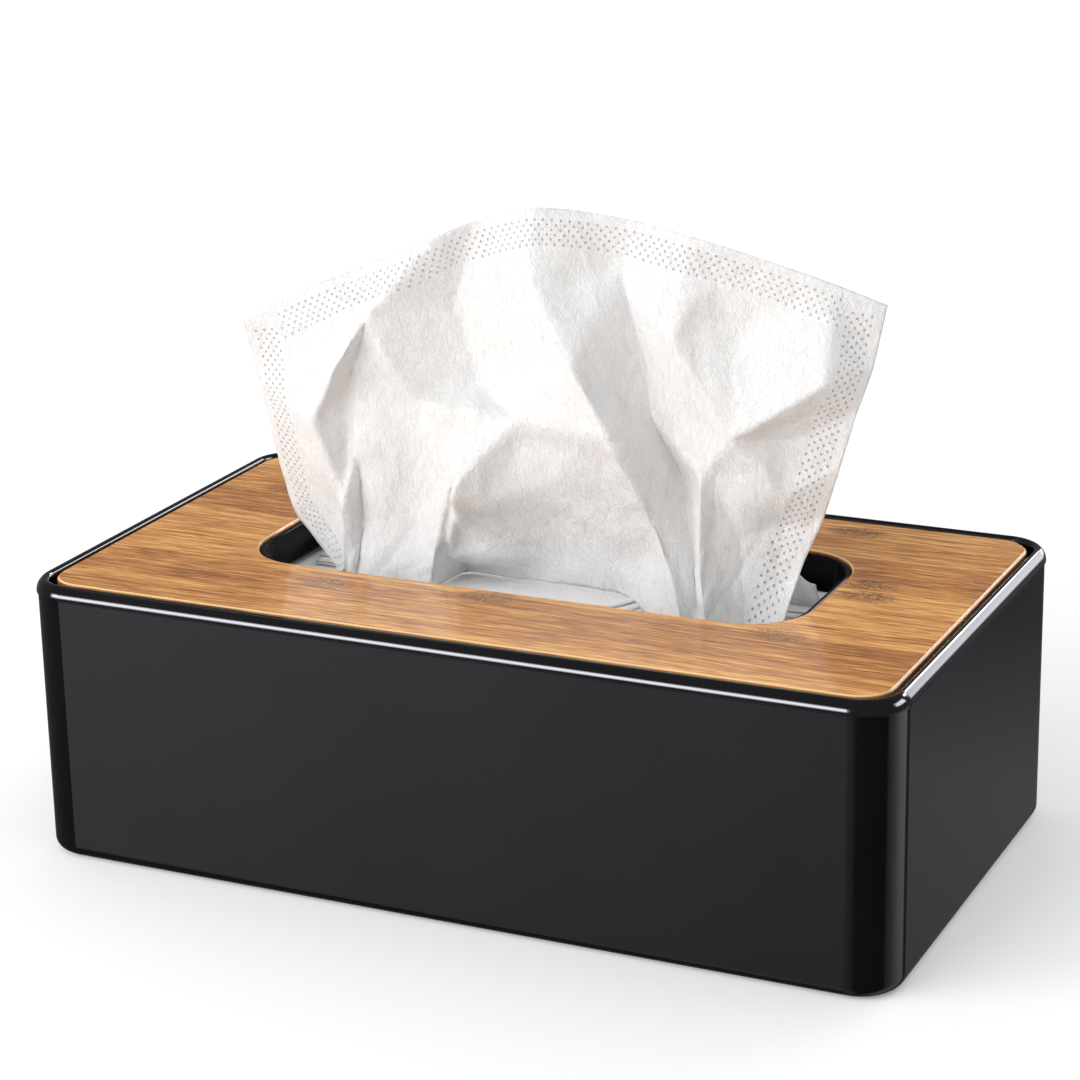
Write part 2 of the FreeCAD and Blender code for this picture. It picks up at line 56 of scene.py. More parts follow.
# The bamboo board: its strips, the depth of its bevel, its colours with a painted highlight on the
# bevel and painted shade on the sides, and where its knuckles lie, in millimetres from the middle
# of the lid
BOARD_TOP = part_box("bamboo_lid")[1].z
STRIP_WIDTH = 0.0203
STRIPS_START = 0.0711
BEVEL_FOOT = 0.00045
BEVEL_HEAD = 0.00030
KNUCKLE_HALF_LENGTH = 0.0085
KNUCKLE_HALF_WIDTH = 0.0048
BAMBOO_TONES = [(0.40, (0.265, 0.093, 0.019)), (0.465, (0.49, 0.196, 0.044)),
                (0.525, (0.66, 0.302, 0.077)), (0.60, (0.88, 0.48, 0.155))]
KNUCKLE_TONE = (0.30, 0.120, 0.035)
KNUCKLE_MARKS = (0.105, 0.035, 0.010)
PAINTED_BEVEL_HIGHLIGHT = (0.93, 0.66, 0.36)
PAINTED_SIDE_SHADE = (0.20, 0.075, 0.025)
KNUCKLES = [(-1.5, -32.5), (89.5, 14.0), (80.5, -31.5), (72.0, 55.5), (-47.0, -38.0),
            (-98.0, 34.0), (-20.0, 56.0), (92.0, 5.0)]

# The standing sheet: how finely its facets are cut, how much and where they are smoothed, and how
# calm its creases are near its edges. Angles are in degrees, distances from an edge in millimetres
SHEET_CELLS = 20
SHEET_SMOOTHING = 9
TOP_SMOOTHING = 40
SHEET_THICKNESS = 0.22 * MM
SOFT_CREASE = 20.0
SHARP_CREASE = 62.0
INNER_PULL = 0.55
OUTLINE_PULL = 0.45
CREASE_HOLD = 0.93
TOP_REACH = 14.0
TOP_FULL = 3.0
EDGE_CALM = 0.35
CALM_FROM = 2.0
CALM_TO = 14.0
FOOT_CALM = 0.004
FOOT_BAND = 0.0005

# The paper's colours, the painted shade in its embossed dots, and how much light the single sheet
# and the folded one let through
TISSUE_TONES = ((0.885, 0.878, 0.873), (0.912, 0.908, 0.905))
PACK_TONES = ((0.76, 0.75, 0.735), (0.905, 0.897, 0.89))
PAINTED_DOT_SHADE = (0.30, 0.25, 0.235)
SHEET_THROUGH = 0.22
FOLDED_THROUGH = 0.05

# The standing sheet's embossed dots, in millimetres. Their places are measured up to EDGE_REACH
# over the surface, and past the ends of each edge
DOT_PITCH = 2.5
DOT_ROW_PITCH = 1.3
DOT_RADIUS = 0.29
DOT_MARGIN = 2.9
DOT_BAND = 7.8
DOT_CORNER_GAP = 0.8
EDGE_REACH = 13.0
END_POINTS = 4
BEYOND_ENDS = 0.03
FAR = 1e9

# Its left side: how far two folds come forward, and the crest that bounds the second one
CHANNEL_LIFT = 0.0088
SIDE_LIFT = 0.0105
CREST_HEIGHTS = [0.0703, 0.0863, 0.1018]
CREST_ACROSS = [-0.031, -0.027, -0.023]
CREST_WIDTH = 0.004

# Its foot, which is tucked below the slot's front edge
TUCK_HEIGHT = 0.016
TUCK_FORWARD = 0.0048
TUCK_DOWN = 0.0034

# Its small creases: their heights, and roughly how many there are to the metre. Then the pleats
# where it is pinched together at its foot: (across, height, which pattern of pleats)
BROAD_CREASE = 0.0011
MIDDLE_CREASE = 0.0006
FINE_CREASE = 0.00016
WAVE_SCALE = 55.0
BROAD_SCALE = 48.0
MIDDLE_SCALE = 105.0
FINE_SCALE = 260.0
PLEAT_HEIGHT = 0.0019
PLEAT_FADE = 0.045
GATHERS = [(-0.052, 0.066, 2.0), (0.048, 0.066, 7.0)]

# Folds to sharpen, and hollows to fill a little: how far out, how wide, and a line of X and Z,
# in millimetres
FOLDS = [(2.0, 6.5, [(0.6, 158.4), (12.3, 139.5), (24.5, 120.0), (34.2, 97.4), (45.5, 72.0)]),
         (1.5, 6.0, [(-4.3, 120.6), (24.5, 120.0)]),
         (1.7, 6.0, [(-4.3, 120.6), (-13.5, 110.3), (-23.3, 95.4), (-28.5, 79.6)]),
         (1.1, 5.0, [(44.1, 157.8), (37.2, 145.1), (42.0, 125.0), (42.1, 106.9)]),
         (1.1, 5.0, [(55.5, 120.4), (79.9, 137.2)]),
         (0.9, 5.0, [(-47.0, 146.2), (-64.9, 115.8)]),
         (4.5, 11.0, [(29.0, 121.8), (39.5, 103.8), (45.5, 76.0)]),
         (3.5, 9.0, [(-55.5, 128.0), (-54.0, 110.0)]),
         (3.0, 10.0, [(55.5, 100.0), (57.0, 80.0)])]

# The next tissue: its layers, how far each one's front and back edge lies inside the piece, and
# the end that is drawn up
NEXT_THICKNESS = 0.2 * MM
NEXT_INSET = 0.0004
NEXT_COLUMNS = 120
LAYER_STEPS = 24
TURN_STEPS = 4
TURN_REACH = 0.0003
LAYER_GAP = 0.41 * MM
FIRST_LAYER = 0.00045
FOLD_TOP = 0.0030
FRONT_EDGES = [0.0, 0.0020, 0.0050, 0.0085, 0.0130, 0.0180, 0.0222]
BACK_EDGES = [0.0, 0.001, 0.002, 0.001, 0.002, 0.0, 0.003]
EDGE_WANDER = 0.0008
END_WANDER = 0.0010
END_SLANT = 0.0055
NARROW_RIGHT = 0.64
NARROW_LEFT = 0.54
WAVINESS = 0.00012
DRAWN_SHARE = 0.85
RIDGE_Y = 0.0165
RIDGE_WIDTH = 0.0036
RIDGE_HEIGHT = 0.0118

# The pack below it
PACK_LAYERS = 58
PACK_INSET = 0.0007
PACK_CORNER = 0.0022
PACK_SPACING = 0.006
PACK_SHIFT = 0.00045
PACK_ROUGHNESS = 0.00035
LAYER_LEVELS = ((0.04, 0.0008), (0.25, 0.0002), (0.5, 0.0), (0.75, 0.0002), (0.96, 0.0008))

# The floor, which glows for the camera more the farther it is from the box, then the plain light
# on everything, and the ceiling that the gloss shows
FLOOR_HALF = 4.0
FLOOR_DROP = 0.0002
FLOOR_TONE = (0.86, 0.86, 0.86)
GLOW_REACH = (0.35, 1.3)
GLOW = (0.18, 0.55)
AMBIENT = 0.74
CEILING = 0.22

# How bright the studio is all the way round at the box's own height, as the gloss shows it:
# (heading in degrees from the front towards the right, brightness). It fades over these angles
# of height, in degrees: at the front towards the floor, behind it both ways, and into the ceiling
STUDIO_ROUND = [(-180.0, 0.18), (-120.0, 0.12), (-40.0, 0.10), (-36.5, 0.90), (-27.0, 0.78),
                (-18.0, 0.62), (-8.0, 0.40), (6.0, 0.04), (78.0, 0.02), (84.0, 0.35),
                (100.0, 0.70), (118.0, 1.20), (140.0, 1.00), (146.0, 0.08), (153.0, 0.08),
                (157.0, 0.22), (180.0, 0.18)]
BEHIND_HEADING = 153.0
FRONT_FOOT = (-27.0, -19.0)
SIDE_FOOT = (-26.0, -23.0)
SIDE_HEAD = (-22.5, -19.5)
CEILING_START = (-17.0, -14.5)

# Bright cards for the gloss: (left, right, foot, head, softness) in degrees, and brightness
STUDIO_CARDS = [(-50.0, -12.0, 0.0, 17.0, 5.0, 22.0), (148.0, 186.0, 0.0, 22.0, 3.0, 5.0),
                (146.0, 190.0, 23.5, 29.0, 1.5, 20.0), (100.0, 132.0, 12.0, 30.0, 3.0, 14.0),
                (-130.0, -80.0, 57.0, 63.0, 2.0, 1.0)]
LIGHT_AIM = (0.0, 0.0, 0.1)


def unit_step(value, low, high):
    """A smooth rise from 0 at low to 1 at high."""
    share = np.clip((value - low) / (high - low), 0.0, 1.0)
    return share * share * (3.0 - 2.0 * share)


def make(tree, kind, inputs=None, **settings):
    """Add a shader node. Each input is a plain value or the socket that feeds it."""
    made = tree.nodes.new(kind)
    for name, value in settings.items():
        setattr(made, name, value)
    for name, value in (inputs or {}).items():
        if isinstance(value, bpy.types.NodeSocket):
            tree.links.new(value, made.inputs[name])
        else:
            made.inputs[name].default_value = value
    return made


def calc(tree, operation, *terms):
    """The result of one sum on numbers and sockets."""
    return make(tree, "ShaderNodeMath", dict(enumerate(terms)), operation=operation).outputs[0]


def ramp(tree, factor, stops):
    """A colour ramp. Each stop is (place, grey or colour)."""
    made = make(tree, "ShaderNodeValToRGB", {"Fac": factor})
    elements = made.color_ramp.elements
    while len(elements) < len(stops):
        elements.new(1.0)
    for element, (place, colour) in zip(elements, stops):
        element.position = place
        if isinstance(colour, float):
            colour = (colour, colour, colour)
        element.color = (*colour, 1.0)
    return made.outputs["Color"]


def rescale(tree, value, low, high, to_low=0.0, to_high=1.0, smooth=False):
    """A value carried from one range to another, and kept inside it."""
    kind = "SMOOTHSTEP" if smooth else "LINEAR"
    made = make(tree, "ShaderNodeMapRange", {"Value": value, "From Min": low, "From Max": high,
                                             "To Min": to_low, "To Max": to_high},
                interpolation_type=kind)
    return made.outputs["Result"]


def blend(tree, factor, first, second):
    """Two colours mixed by a factor."""
    made = make(tree, "ShaderNodeMix", data_type="RGBA")
    for number, value in ((0, factor), (6, first), (7, second)):
        if isinstance(value, bpy.types.NodeSocket):
            tree.links.new(value, made.inputs[number])
        elif number == 0:
            made.inputs[number].default_value = value
        else:
            made.inputs[number].default_value = (*value, 1.0)
    return made.outputs[2]


def scaled_place(tree, scale, turn=(0.0, 0.0, 0.0)):
    """The object's own coordinates, stretched and turned."""
    place = make(tree, "ShaderNodeTexCoord").outputs["Object"]
    made = make(tree, "ShaderNodeMapping", {"Vector": place, "Scale": scale, "Rotation": turn})
    return made.outputs["Vector"]


def noise_of(tree, place, scale, detail=3.0, roughness=0.5, distortion=0.0):
    """Grey noise at a scale."""
    made = make(tree, "ShaderNodeTexNoise", {"Vector": place, "Scale": scale, "Detail": detail,
                                             "Roughness": roughness, "Distortion": distortion})
    return made.outputs["Fac"]


def bump(tree, height, distance, strength=1.0, below=None):
    """A bump from a height, laid over another bump."""
    inputs = {"Height": height, "Distance": distance, "Strength": strength}
    if below is not None:
        inputs["Normal"] = below
    return make(tree, "ShaderNodeBump", inputs).outputs["Normal"]


def new_material(name):
    """A material with one principled shader."""
    material = bpy.data.materials.new(name)
    material.use_nodes = True
    tree = material.node_tree
    return material, tree, tree.nodes["Principled BSDF"]


def gloss_plastic(name, colour, roughness, shine=0.5):
    """Polished moulded plastic: near-black, with a trace of flow and handling marks."""
    material, tree, shader = new_material(name)
    place = scaled_place(tree, (1.0, 1.0, 1.0))
    cloud = noise_of(tree, place, 22.0, 4.0, 0.6)
    fine = noise_of(tree, place, 900.0, 2.0, 0.5)
    lighter = tuple(part * 1.6 for part in colour)
    tint = blend(tree, rescale(tree, cloud, 0.35, 0.65), colour, lighter)
    tree.links.new(tint, shader.inputs["Base Color"])
    rough = rescale(tree, cloud, 0.3, 0.7, roughness * 0.8, roughness * 1.25)
    tree.links.new(rough, shader.inputs["Roughness"])
    wave = bump(tree, noise_of(tree, place, 55.0, 1.0), 0.00002)
    grain = bump(tree, fine, 0.000002, 1.0, wave)
    tree.links.new(grain, shader.inputs["Normal"])
    shader.inputs["IOR"].default_value = 1.5
    shader.inputs["Specular IOR Level"].default_value = shine
    return material


def bamboo_fibres(tree, parts):
    """The bamboo's grain: its colour, with the two finer noises that also shape the surface."""
    along = parts["X"]
    across = parts["Y"]
    slow = noise_of(tree, scaled_place(tree, (9.0, 9.0, 9.0)), 1.0, 2.0)
    bent = calc(tree, "ADD", across, calc(tree, "MULTIPLY", slow, 0.004))
    broad_place = make(tree, "ShaderNodeCombineXYZ",
                       {"X": calc(tree, "MULTIPLY", along, 0.026), "Y": bent,
                        "Z": calc(tree, "MULTIPLY", parts["Z"], 0.6)}).outputs[0]
    fine_place = make(tree, "ShaderNodeCombineXYZ",
                      {"X": calc(tree, "MULTIPLY", along, 0.065), "Y": bent,
                       "Z": parts["Z"]}).outputs[0]
    broad = noise_of(tree, broad_place, 190.0, 3.0, 0.6)
    middle = noise_of(tree, fine_place, 820.0, 3.0, 0.7)
    fine = noise_of(tree, fine_place, 2100.0, 2.0, 0.7)
    grain = calc(tree, "ADD", calc(tree, "MULTIPLY", broad, 0.26),
                 calc(tree, "ADD", calc(tree, "MULTIPLY", middle, 0.48),
                      calc(tree, "MULTIPLY", fine, 0.26)))
    from_first = calc(tree, "ADD", across, STRIPS_START)
    strip = calc(tree, "FLOOR", calc(tree, "DIVIDE", from_first, STRIP_WIDTH))
    strip_tint = make(tree, "ShaderNodeTexWhiteNoise", {"W": strip}, noise_dimensions="1D")
    off_tint = calc(tree, "SUBTRACT", strip_tint.outputs["Value"], 0.5)
    tone = calc(tree, "ADD", grain, calc(tree, "MULTIPLY", off_tint, 0.07))
    return ramp(tree, tone, BAMBOO_TONES), middle, fine


def knuckle_spots(tree, along, across):
    """1 in the middle of each of the board's knuckles, and 0 outside them all."""
    knuckles = 0.0
    for middle_x, middle_y in KNUCKLES:
        off_x = calc(tree, "DIVIDE", calc(tree, "SUBTRACT", along, middle_x * MM),
                     KNUCKLE_HALF_LENGTH)
        off_y = calc(tree, "DIVIDE", calc(tree, "SUBTRACT", across, middle_y * MM),
                     KNUCKLE_HALF_WIDTH)
        reach = calc(tree, "ADD", calc(tree, "MULTIPLY", off_x, off_x),
                     calc(tree, "MULTIPLY", off_y, off_y))
        spot = rescale(tree, reach, 0.1, 1.5, 1.0, 0.0, smooth=True)
        knuckles = calc(tree, "MAXIMUM", knuckles, spot)
    return knuckles


def bamboo_board():
    """Bamboo strips side by side, fine fibres along the box, a few knuckles, satin varnish, a
    painted highlight on the top bevel and painted shade on the sides.
    """
    material, tree, shader = new_material("bamboo_varnished")
    place = make(tree, "ShaderNodeTexCoord").outputs["Object"]
    parts = make(tree, "ShaderNodeSeparateXYZ", {"Vector": place}).outputs
    wood, middle, fine = bamboo_fibres(tree, parts)
    knuckles = knuckle_spots(tree, parts["X"], parts["Y"])
    curl = noise_of(tree, scaled_place(tree, (1.0, 1.7, 1.0)), 430.0, 4.0, 0.65, 2.2)
    marks = calc(tree, "MULTIPLY", knuckles, rescale(tree, curl, 0.49, 0.57))
    wood = blend(tree, calc(tree, "MULTIPLY", knuckles, 0.42), wood, KNUCKLE_TONE)
    wood = blend(tree, calc(tree, "MULTIPLY", marks, 0.92), wood, KNUCKLE_MARKS)
    facing = make(tree, "ShaderNodeNewGeometry").outputs["True Normal"]
    upward = make(tree, "ShaderNodeSeparateXYZ", {"Vector": facing}).outputs["Z"]
    # Painted highlight on the bevel's slanted upper faces near the top, painted shade on the faces
    # below it
    painted_light_mix = rescale(tree, parts["Z"], BOARD_TOP - BEVEL_FOOT, BOARD_TOP - BEVEL_HEAD)
    edge = calc(tree, "LESS_THAN", upward, 0.95)
    slanted = calc(tree, "MULTIPLY", calc(tree, "GREATER_THAN", upward, 0.4), edge)
    bevel_highlight = calc(tree, "MULTIPLY", slanted, painted_light_mix)
    wood = blend(tree, calc(tree, "MULTIPLY", bevel_highlight, 0.85), wood, PAINTED_BEVEL_HIGHLIGHT)
    # Painted shade on the board's sides and underside, below the bevel
    side = calc(tree, "MULTIPLY", edge, calc(tree, "SUBTRACT", 1.0, painted_light_mix))
    wood = blend(tree, calc(tree, "MULTIPLY", side, 0.6), wood, PAINTED_SIDE_SHADE)
    tree.links.new(wood, shader.inputs["Base Color"])
    rough = rescale(tree, middle, 0.3, 0.7, 0.30, 0.42)
    tree.links.new(rough, shader.inputs["Roughness"])
    relief = bump(tree, middle, 0.00003)
    tree.links.new(bump(tree, fine, 0.00001, 1.0, relief), shader.inputs["Normal"])
    shader.inputs["Specular IOR Level"].default_value = 0.2
    bare = calc(tree, "MULTIPLY", edge, 0.85)
    coat = calc(tree, "MULTIPLY", calc(tree, "SUBTRACT", 1.0, bare), 0.6)
    tree.links.new(coat, shader.inputs["Coat Weight"])
    shader.inputs["Coat Roughness"].default_value = 0.09
    return material


def dot_rows(tree, edge):
    """Embossed dots in staggered rows along one edge of the sheet.

    The result is 1 in a dot, then how far a place lies from that edge, and how far along it.
    """
    place = make(tree, "ShaderNodeUVMap", uv_map=edge).outputs["UV"]
    parts = make(tree, "ShaderNodeSeparateXYZ", {"Vector": place})
    along = parts.outputs["X"]
    inward = parts.outputs["Y"]
    row = calc(tree, "FLOOR", calc(tree, "DIVIDE", inward, DOT_ROW_PITCH))
    stagger = calc(tree, "MULTIPLY", calc(tree, "MODULO", row, 2.0), 0.5)
    cell = calc(tree, "FRACT", calc(tree, "ADD", calc(tree, "DIVIDE", along, DOT_PITCH), stagger))
    off_along = calc(tree, "MULTIPLY", calc(tree, "SUBTRACT", cell, 0.5), DOT_PITCH)
    rise = calc(tree, "FRACT", calc(tree, "DIVIDE", inward, DOT_ROW_PITCH))
    off_inward = calc(tree, "MULTIPLY", calc(tree, "SUBTRACT", rise, 0.5), DOT_ROW_PITCH)
    away = calc(tree, "SQRT", calc(tree, "ADD", calc(tree, "MULTIPLY", off_along, off_along),
                                   calc(tree, "MULTIPLY", off_inward, off_inward)))
    dot = rescale(tree, away, DOT_RADIUS * 0.6, DOT_RADIUS * 1.35, 1.0, 0.0, smooth=True)
    inside = calc(tree, "MULTIPLY", calc(tree, "GREATER_THAN", inward, DOT_MARGIN),
                  calc(tree, "LESS_THAN", inward, DOT_MARGIN + DOT_BAND))
    return calc(tree, "MULTIPLY", dot, inside), inward, along


def embossed_dots(tree, cloud):
    """The dots along the sheet's left, right and top edges: how deep, and how much painted shade
    lies in them.
    """
    left, from_left, left_along = dot_rows(tree, "left_edge")
    right, from_right, right_along = dot_rows(tree, "right_edge")
    top = dot_rows(tree, "top_edge")[0]
    left = calc(tree, "MULTIPLY", left, calc(tree, "GREATER_THAN", left_along, DOT_MARGIN))
    right = calc(tree, "MULTIPLY", right, calc(tree, "GREATER_THAN", right_along, DOT_MARGIN))
    corner = DOT_MARGIN + DOT_BAND + DOT_CORNER_GAP
    clear = calc(tree, "MULTIPLY", calc(tree, "GREATER_THAN", from_left, corner),
                 calc(tree, "GREATER_THAN", from_right, corner))
    top = calc(tree, "MULTIPLY", top, clear)
    dots = calc(tree, "MAXIMUM", top, calc(tree, "MAXIMUM", left, right))
    # How much painted shade each dot gets, varied by noise, and less on the top band
    painted_light_mix = rescale(tree, cloud, 0.35, 0.62, 0.85, 0.45)
    paler_top = calc(tree, "SUBTRACT", dots, calc(tree, "MULTIPLY", top, 0.45))
    return dots, calc(tree, "MULTIPLY", painted_light_mix, paler_top)


def tissue_paper(name, embossed):
    """Soft tissue: fibrous, faintly crinkled, a little light shows through it."""
    material, tree, shader = new_material(name)
    place = scaled_place(tree, (1.0, 1.0, 0.55), (0.0, math.radians(24.0), 0.0))
    fibre = noise_of(tree, place, 900.0, 3.0, 0.6, 0.6)
    curl = noise_of(tree, place, 620.0, 2.0, 0.5, 1.6)
    off_middle = calc(tree, "ABSOLUTE", calc(tree, "SUBTRACT", curl, 0.5))
    worm = rescale(tree, off_middle, 0.0, 0.11, 1.0, 0.0, smooth=True)
    crepe = noise_of(tree, place, 150.0, 2.0, 0.5, 0.8)
    cloud = noise_of(tree, place, 38.0, 3.0)
    paper = blend(tree, rescale(tree, cloud, 0.35, 0.65), *TISSUE_TONES)
    height = calc(tree, "ADD", calc(tree, "MULTIPLY", fibre, 0.25),
                  calc(tree, "ADD", calc(tree, "MULTIPLY", worm, 0.20),
                       calc(tree, "MULTIPLY", crepe, 1.6)))
    normal = bump(tree, height, 0.0005)
    if embossed:
        dots, shade = embossed_dots(tree, cloud)
        # Painted shade in the embossed dots
        paper = blend(tree, shade, paper, PAINTED_DOT_SHADE)
        normal = bump(tree, calc(tree, "MULTIPLY", dots, -1.0), 0.0004, 0.9, normal)
    else:
        pleats = noise_of(tree, scaled_place(tree, (0.03, 1.0, 0.2)), 800.0, 2.0)
        normal = bump(tree, pleats, 0.0004, 0.8, normal)
    tree.links.new(paper, shader.inputs["Base Color"])
    tree.links.new(normal, shader.inputs["Normal"])
    shader.inputs["Roughness"].default_value = 0.82
    shader.inputs["IOR"].default_value = 1.35
    shader.inputs["Sheen Weight"].default_value = 0.12
    shader.inputs["Sheen Roughness"].default_value = 0.5
    through = make(tree, "ShaderNodeBsdfTranslucent", {"Color": paper, "Normal": normal})
    both = make(tree, "ShaderNodeMixShader",
                {0: SHEET_THROUGH if embossed else FOLDED_THROUGH,
                 1: shader.outputs[0], 2: through.outputs[0]})
    tree.links.new(both.outputs[0], tree.nodes["Material Output"].inputs["Surface"])
    return material


def stack_paper():
    """The pack: many thin layers on its sides, soft fibrous paper on top."""
    material, tree, shader = new_material("tissue_pack_layers")
    place = scaled_place(tree, (0.05, 0.05, 1.0))
    layers = noise_of(tree, place, 2600.0, 2.0, 0.6)
    fibre = noise_of(tree, scaled_place(tree, (1.0, 1.0, 1.0)), 520.0, 3.0, 0.55, 1.2)
    facing = make(tree, "ShaderNodeNewGeometry").outputs["True Normal"]
    upward = make(tree, "ShaderNodeSeparateXYZ", {"Vector": facing}).outputs["Z"]
    face = calc(tree, "GREATER_THAN", upward, 0.6)
    share = calc(tree, "MAXIMUM", rescale(tree, layers, 0.35, 0.65),
                 calc(tree, "MULTIPLY", face, rescale(tree, fibre, 0.3, 0.7, 0.82, 1.0)))
    paper = blend(tree, share, *PACK_TONES)
    tree.links.new(paper, shader.inputs["Base Color"])
    normal = bump(tree, layers, 0.0002, 0.6)
    tree.links.new(bump(tree, fibre, 0.0003, 0.8, normal), shader.inputs["Normal"])
    shader.inputs["Roughness"].default_value = 0.85
    shader.inputs["IOR"].default_value = 1.35
    return material


def new_object(name, places, faces, material, smooth=True):
    """A mesh object from points and faces."""
    mesh = bpy.data.meshes.new(name)
    mesh.from_pydata([tuple(place) for place in places], [], [tuple(face) for face in faces])
    mesh.validate()
    mesh.polygons.foreach_set("use_smooth", [smooth] * len(mesh.polygons))
    mesh.materials.append(material)
    made = bpy.data.objects.new(name, mesh)
    bpy.context.scene.collection.objects.link(made)
    return made


def thicken(made, thickness):
    """Give a sheet its thickness, half of it on each side."""
    thick = made.modifiers.new("thickness", "SOLIDIFY")
    thick.thickness = thickness
    thick.offset = 0.0


def sheet_net(node):
    """The flat facets of the standing sheet: its CAD solid's front side, moved to mid-thickness."""
    mesh = node.data
    mesh.calc_loop_triangles()
    corners = np.array([tuple(vertex.co) for vertex in mesh.vertices])
    places, owner = np.unique(np.round(corners, 6), axis=0, return_inverse=True)
    owner = owner.reshape(-1)
    sides = {}
    for number, (x, y, z) in enumerate(places):
        sides.setdefault((x, z), []).append((y, number))
    new_number = {}
    points = []
    for (x, z), pair in sides.items():
        front = min(pair)
        back = max(pair)
        new_number[front[1]] = len(points)
        points.append((x, (front[0] + back[0]) / 2, z))
    facets = []
    for triangle in mesh.loop_triangles:
        numbers = [owner[vertex] for vertex in triangle.vertices]
        if all(number in new_number for number in numbers):
            facets.append([new_number[number] for number in numbers])
    return np.array(points), facets


def divide_net(points, facets, cells):
    """Every facet cut into small equal triangles that share their corners."""
    places = []
    triangles = []
    found = {}

    def number_of(facet, i, j):
        share = (cells - i - j, i, j)
        key = tuple(sorted((facet[k], share[k]) for k in range(3) if share[k]))
        if key not in found:
            found[key] = len(places)
            places.append(sum(points[facet[k]] * share[k] for k in range(3)) / cells)
        return found[key]

    for facet in facets:
        for i in range(cells):
            for j in range(cells - i):
                triangles.append((number_of(facet, i, j), number_of(facet, i + 1, j),
                                  number_of(facet, i, j + 1)))
                if i + j < cells - 1:
                    triangles.append((number_of(facet, i + 1, j), number_of(facet, i + 1, j + 1),
                                      number_of(facet, i, j + 1)))
    return np.array(places), np.array(triangles), found


def fold_sharpness(points, facets, found, count):
    """How sharp the crease through each small point is, from 0 in a facet to 1 on a tight fold."""
    sharp = np.zeros(count)
    normals = {}
    for facet in facets:
        a, b, c = (points[number] for number in facet)
        normal = np.cross(b - a, c - a)
        normal /= np.linalg.norm(normal)
        for pair in ((0, 1), (1, 2), (2, 0)):
            side = frozenset((facet[pair[0]], facet[pair[1]]))
            normals.setdefault(side, []).append(normal)
    angles = {}
    for side, pair in normals.items():
        if len(pair) == 2:
            angles[side] = math.degrees(math.acos(max(-1.0, min(1.0, float(pair[0] @ pair[1])))))
    for key, number in found.items():
        if len(key) == 2:
            side = frozenset((key[0][0], key[1][0]))
            sharp[number] = float(unit_step(angles.get(side, 0.0), SOFT_CREASE, SHARP_CREASE))
    return sharp


def edge_sides(triangles):
    """The pairs of points that share a side, and those on the outline."""
    pairs = np.sort(np.concatenate([triangles[:, [0, 1]], triangles[:, [1, 2]],
                                    triangles[:, [2, 0]]]), axis=1)
    sides, uses = np.unique(pairs, axis=0, return_counts=True)
    return sides, sides[uses == 1]


def average(values, sides, count):
    """Each point's mean over its neighbours."""
    total = np.zeros((count, 3))
    number = np.bincount(sides.reshape(-1), minlength=count).astype(float)
    for axis in range(3):
        total[:, axis] = (np.bincount(sides[:, 0], values[sides[:, 1], axis], count)
                          + np.bincount(sides[:, 1], values[sides[:, 0], axis], count))
    return total / np.maximum(number, 1.0)[:, None]


def relax(places, sides, outline, sharp, rounds, part=1.0):
    """Round the folds off, the sharp ones least, and the outline only along itself."""
    count = len(places)
    on_outline = np.zeros(count, bool)
    on_outline[outline.reshape(-1)] = True
    pull = np.where(on_outline, 0.0, INNER_PULL * (1.0 - CREASE_HOLD * sharp))[:, None]
    pull_outline = np.where(on_outline, OUTLINE_PULL, 0.0)[:, None]
    ends = np.isin(np.arange(count), corner_points(places, outline))
    pull_outline[ends] = 0.0
    pull = pull * part
    pull_outline = pull_outline * part
    for _ in range(rounds):
        inner = average(places, sides, count)
        along = average(places, outline, count)
        places = places + (inner - places) * pull + (along - places) * pull_outline
    return places


def corner_points(places, outline):
    """The sheet's four corners: two at the top's ends and two at the foot's ends."""
    numbers = np.unique(outline)
    x = places[numbers, 0]
    z = places[numbers, 2]
    foot = numbers[z < z.min() + FOOT_BAND]
    return [numbers[np.argmin(x)], numbers[np.argmax(x)],
            foot[np.argmin(places[foot, 0])], foot[np.argmax(places[foot, 0])]]


def walk(outline, start, finish, summit, over_summit):
    """The outline's points from one corner to another, by way of the summit or not."""
    joined = {}
    for a, b in outline:
        joined.setdefault(int(a), []).append(int(b))
        joined.setdefault(int(b), []).append(int(a))
    for first in joined[start]:
        path = [start, first]
        while path[-1] != finish:
            path.append(next(n for n in joined[path[-1]] if n != path[-2]))
        if (summit in path) == over_summit:
            return path
    raise ValueError("the outline has no such way round")


def from_line(places, line):
    """For each point, how far along a line its nearest place is, and how far away, in mm.

    The line goes straight on beyond its two ends.
    """
    back = line[0] - line[END_POINTS]
    onward = line[-1] - line[-1 - END_POINTS]
    before_start = line[0] + back * (BEYOND_ENDS / np.linalg.norm(back))
    after_end = line[-1] + onward * (BEYOND_ENDS / np.linalg.norm(onward))
    line = np.concatenate([[before_start], line, [after_end]])
    starts = line[:-1]
    steps = line[1:] - starts
    lengths = np.linalg.norm(steps, axis=1)
    before = np.concatenate([[0.0], np.cumsum(lengths)[:-1]]) - lengths[0]
    best = np.full(len(places), FAR)
    along = np.zeros(len(places))
    for start, step, length, sofar in zip(starts, steps, lengths, before):
        share = np.clip(((places - start) @ step) / (length * length), 0.0, 1.0)
        away = np.linalg.norm(places - start - share[:, None] * step, axis=1)
        nearer = away < best
        best[nearer] = away[nearer]
        along[nearer] = sofar + share[nearer] * length
    return along / MM, best / MM


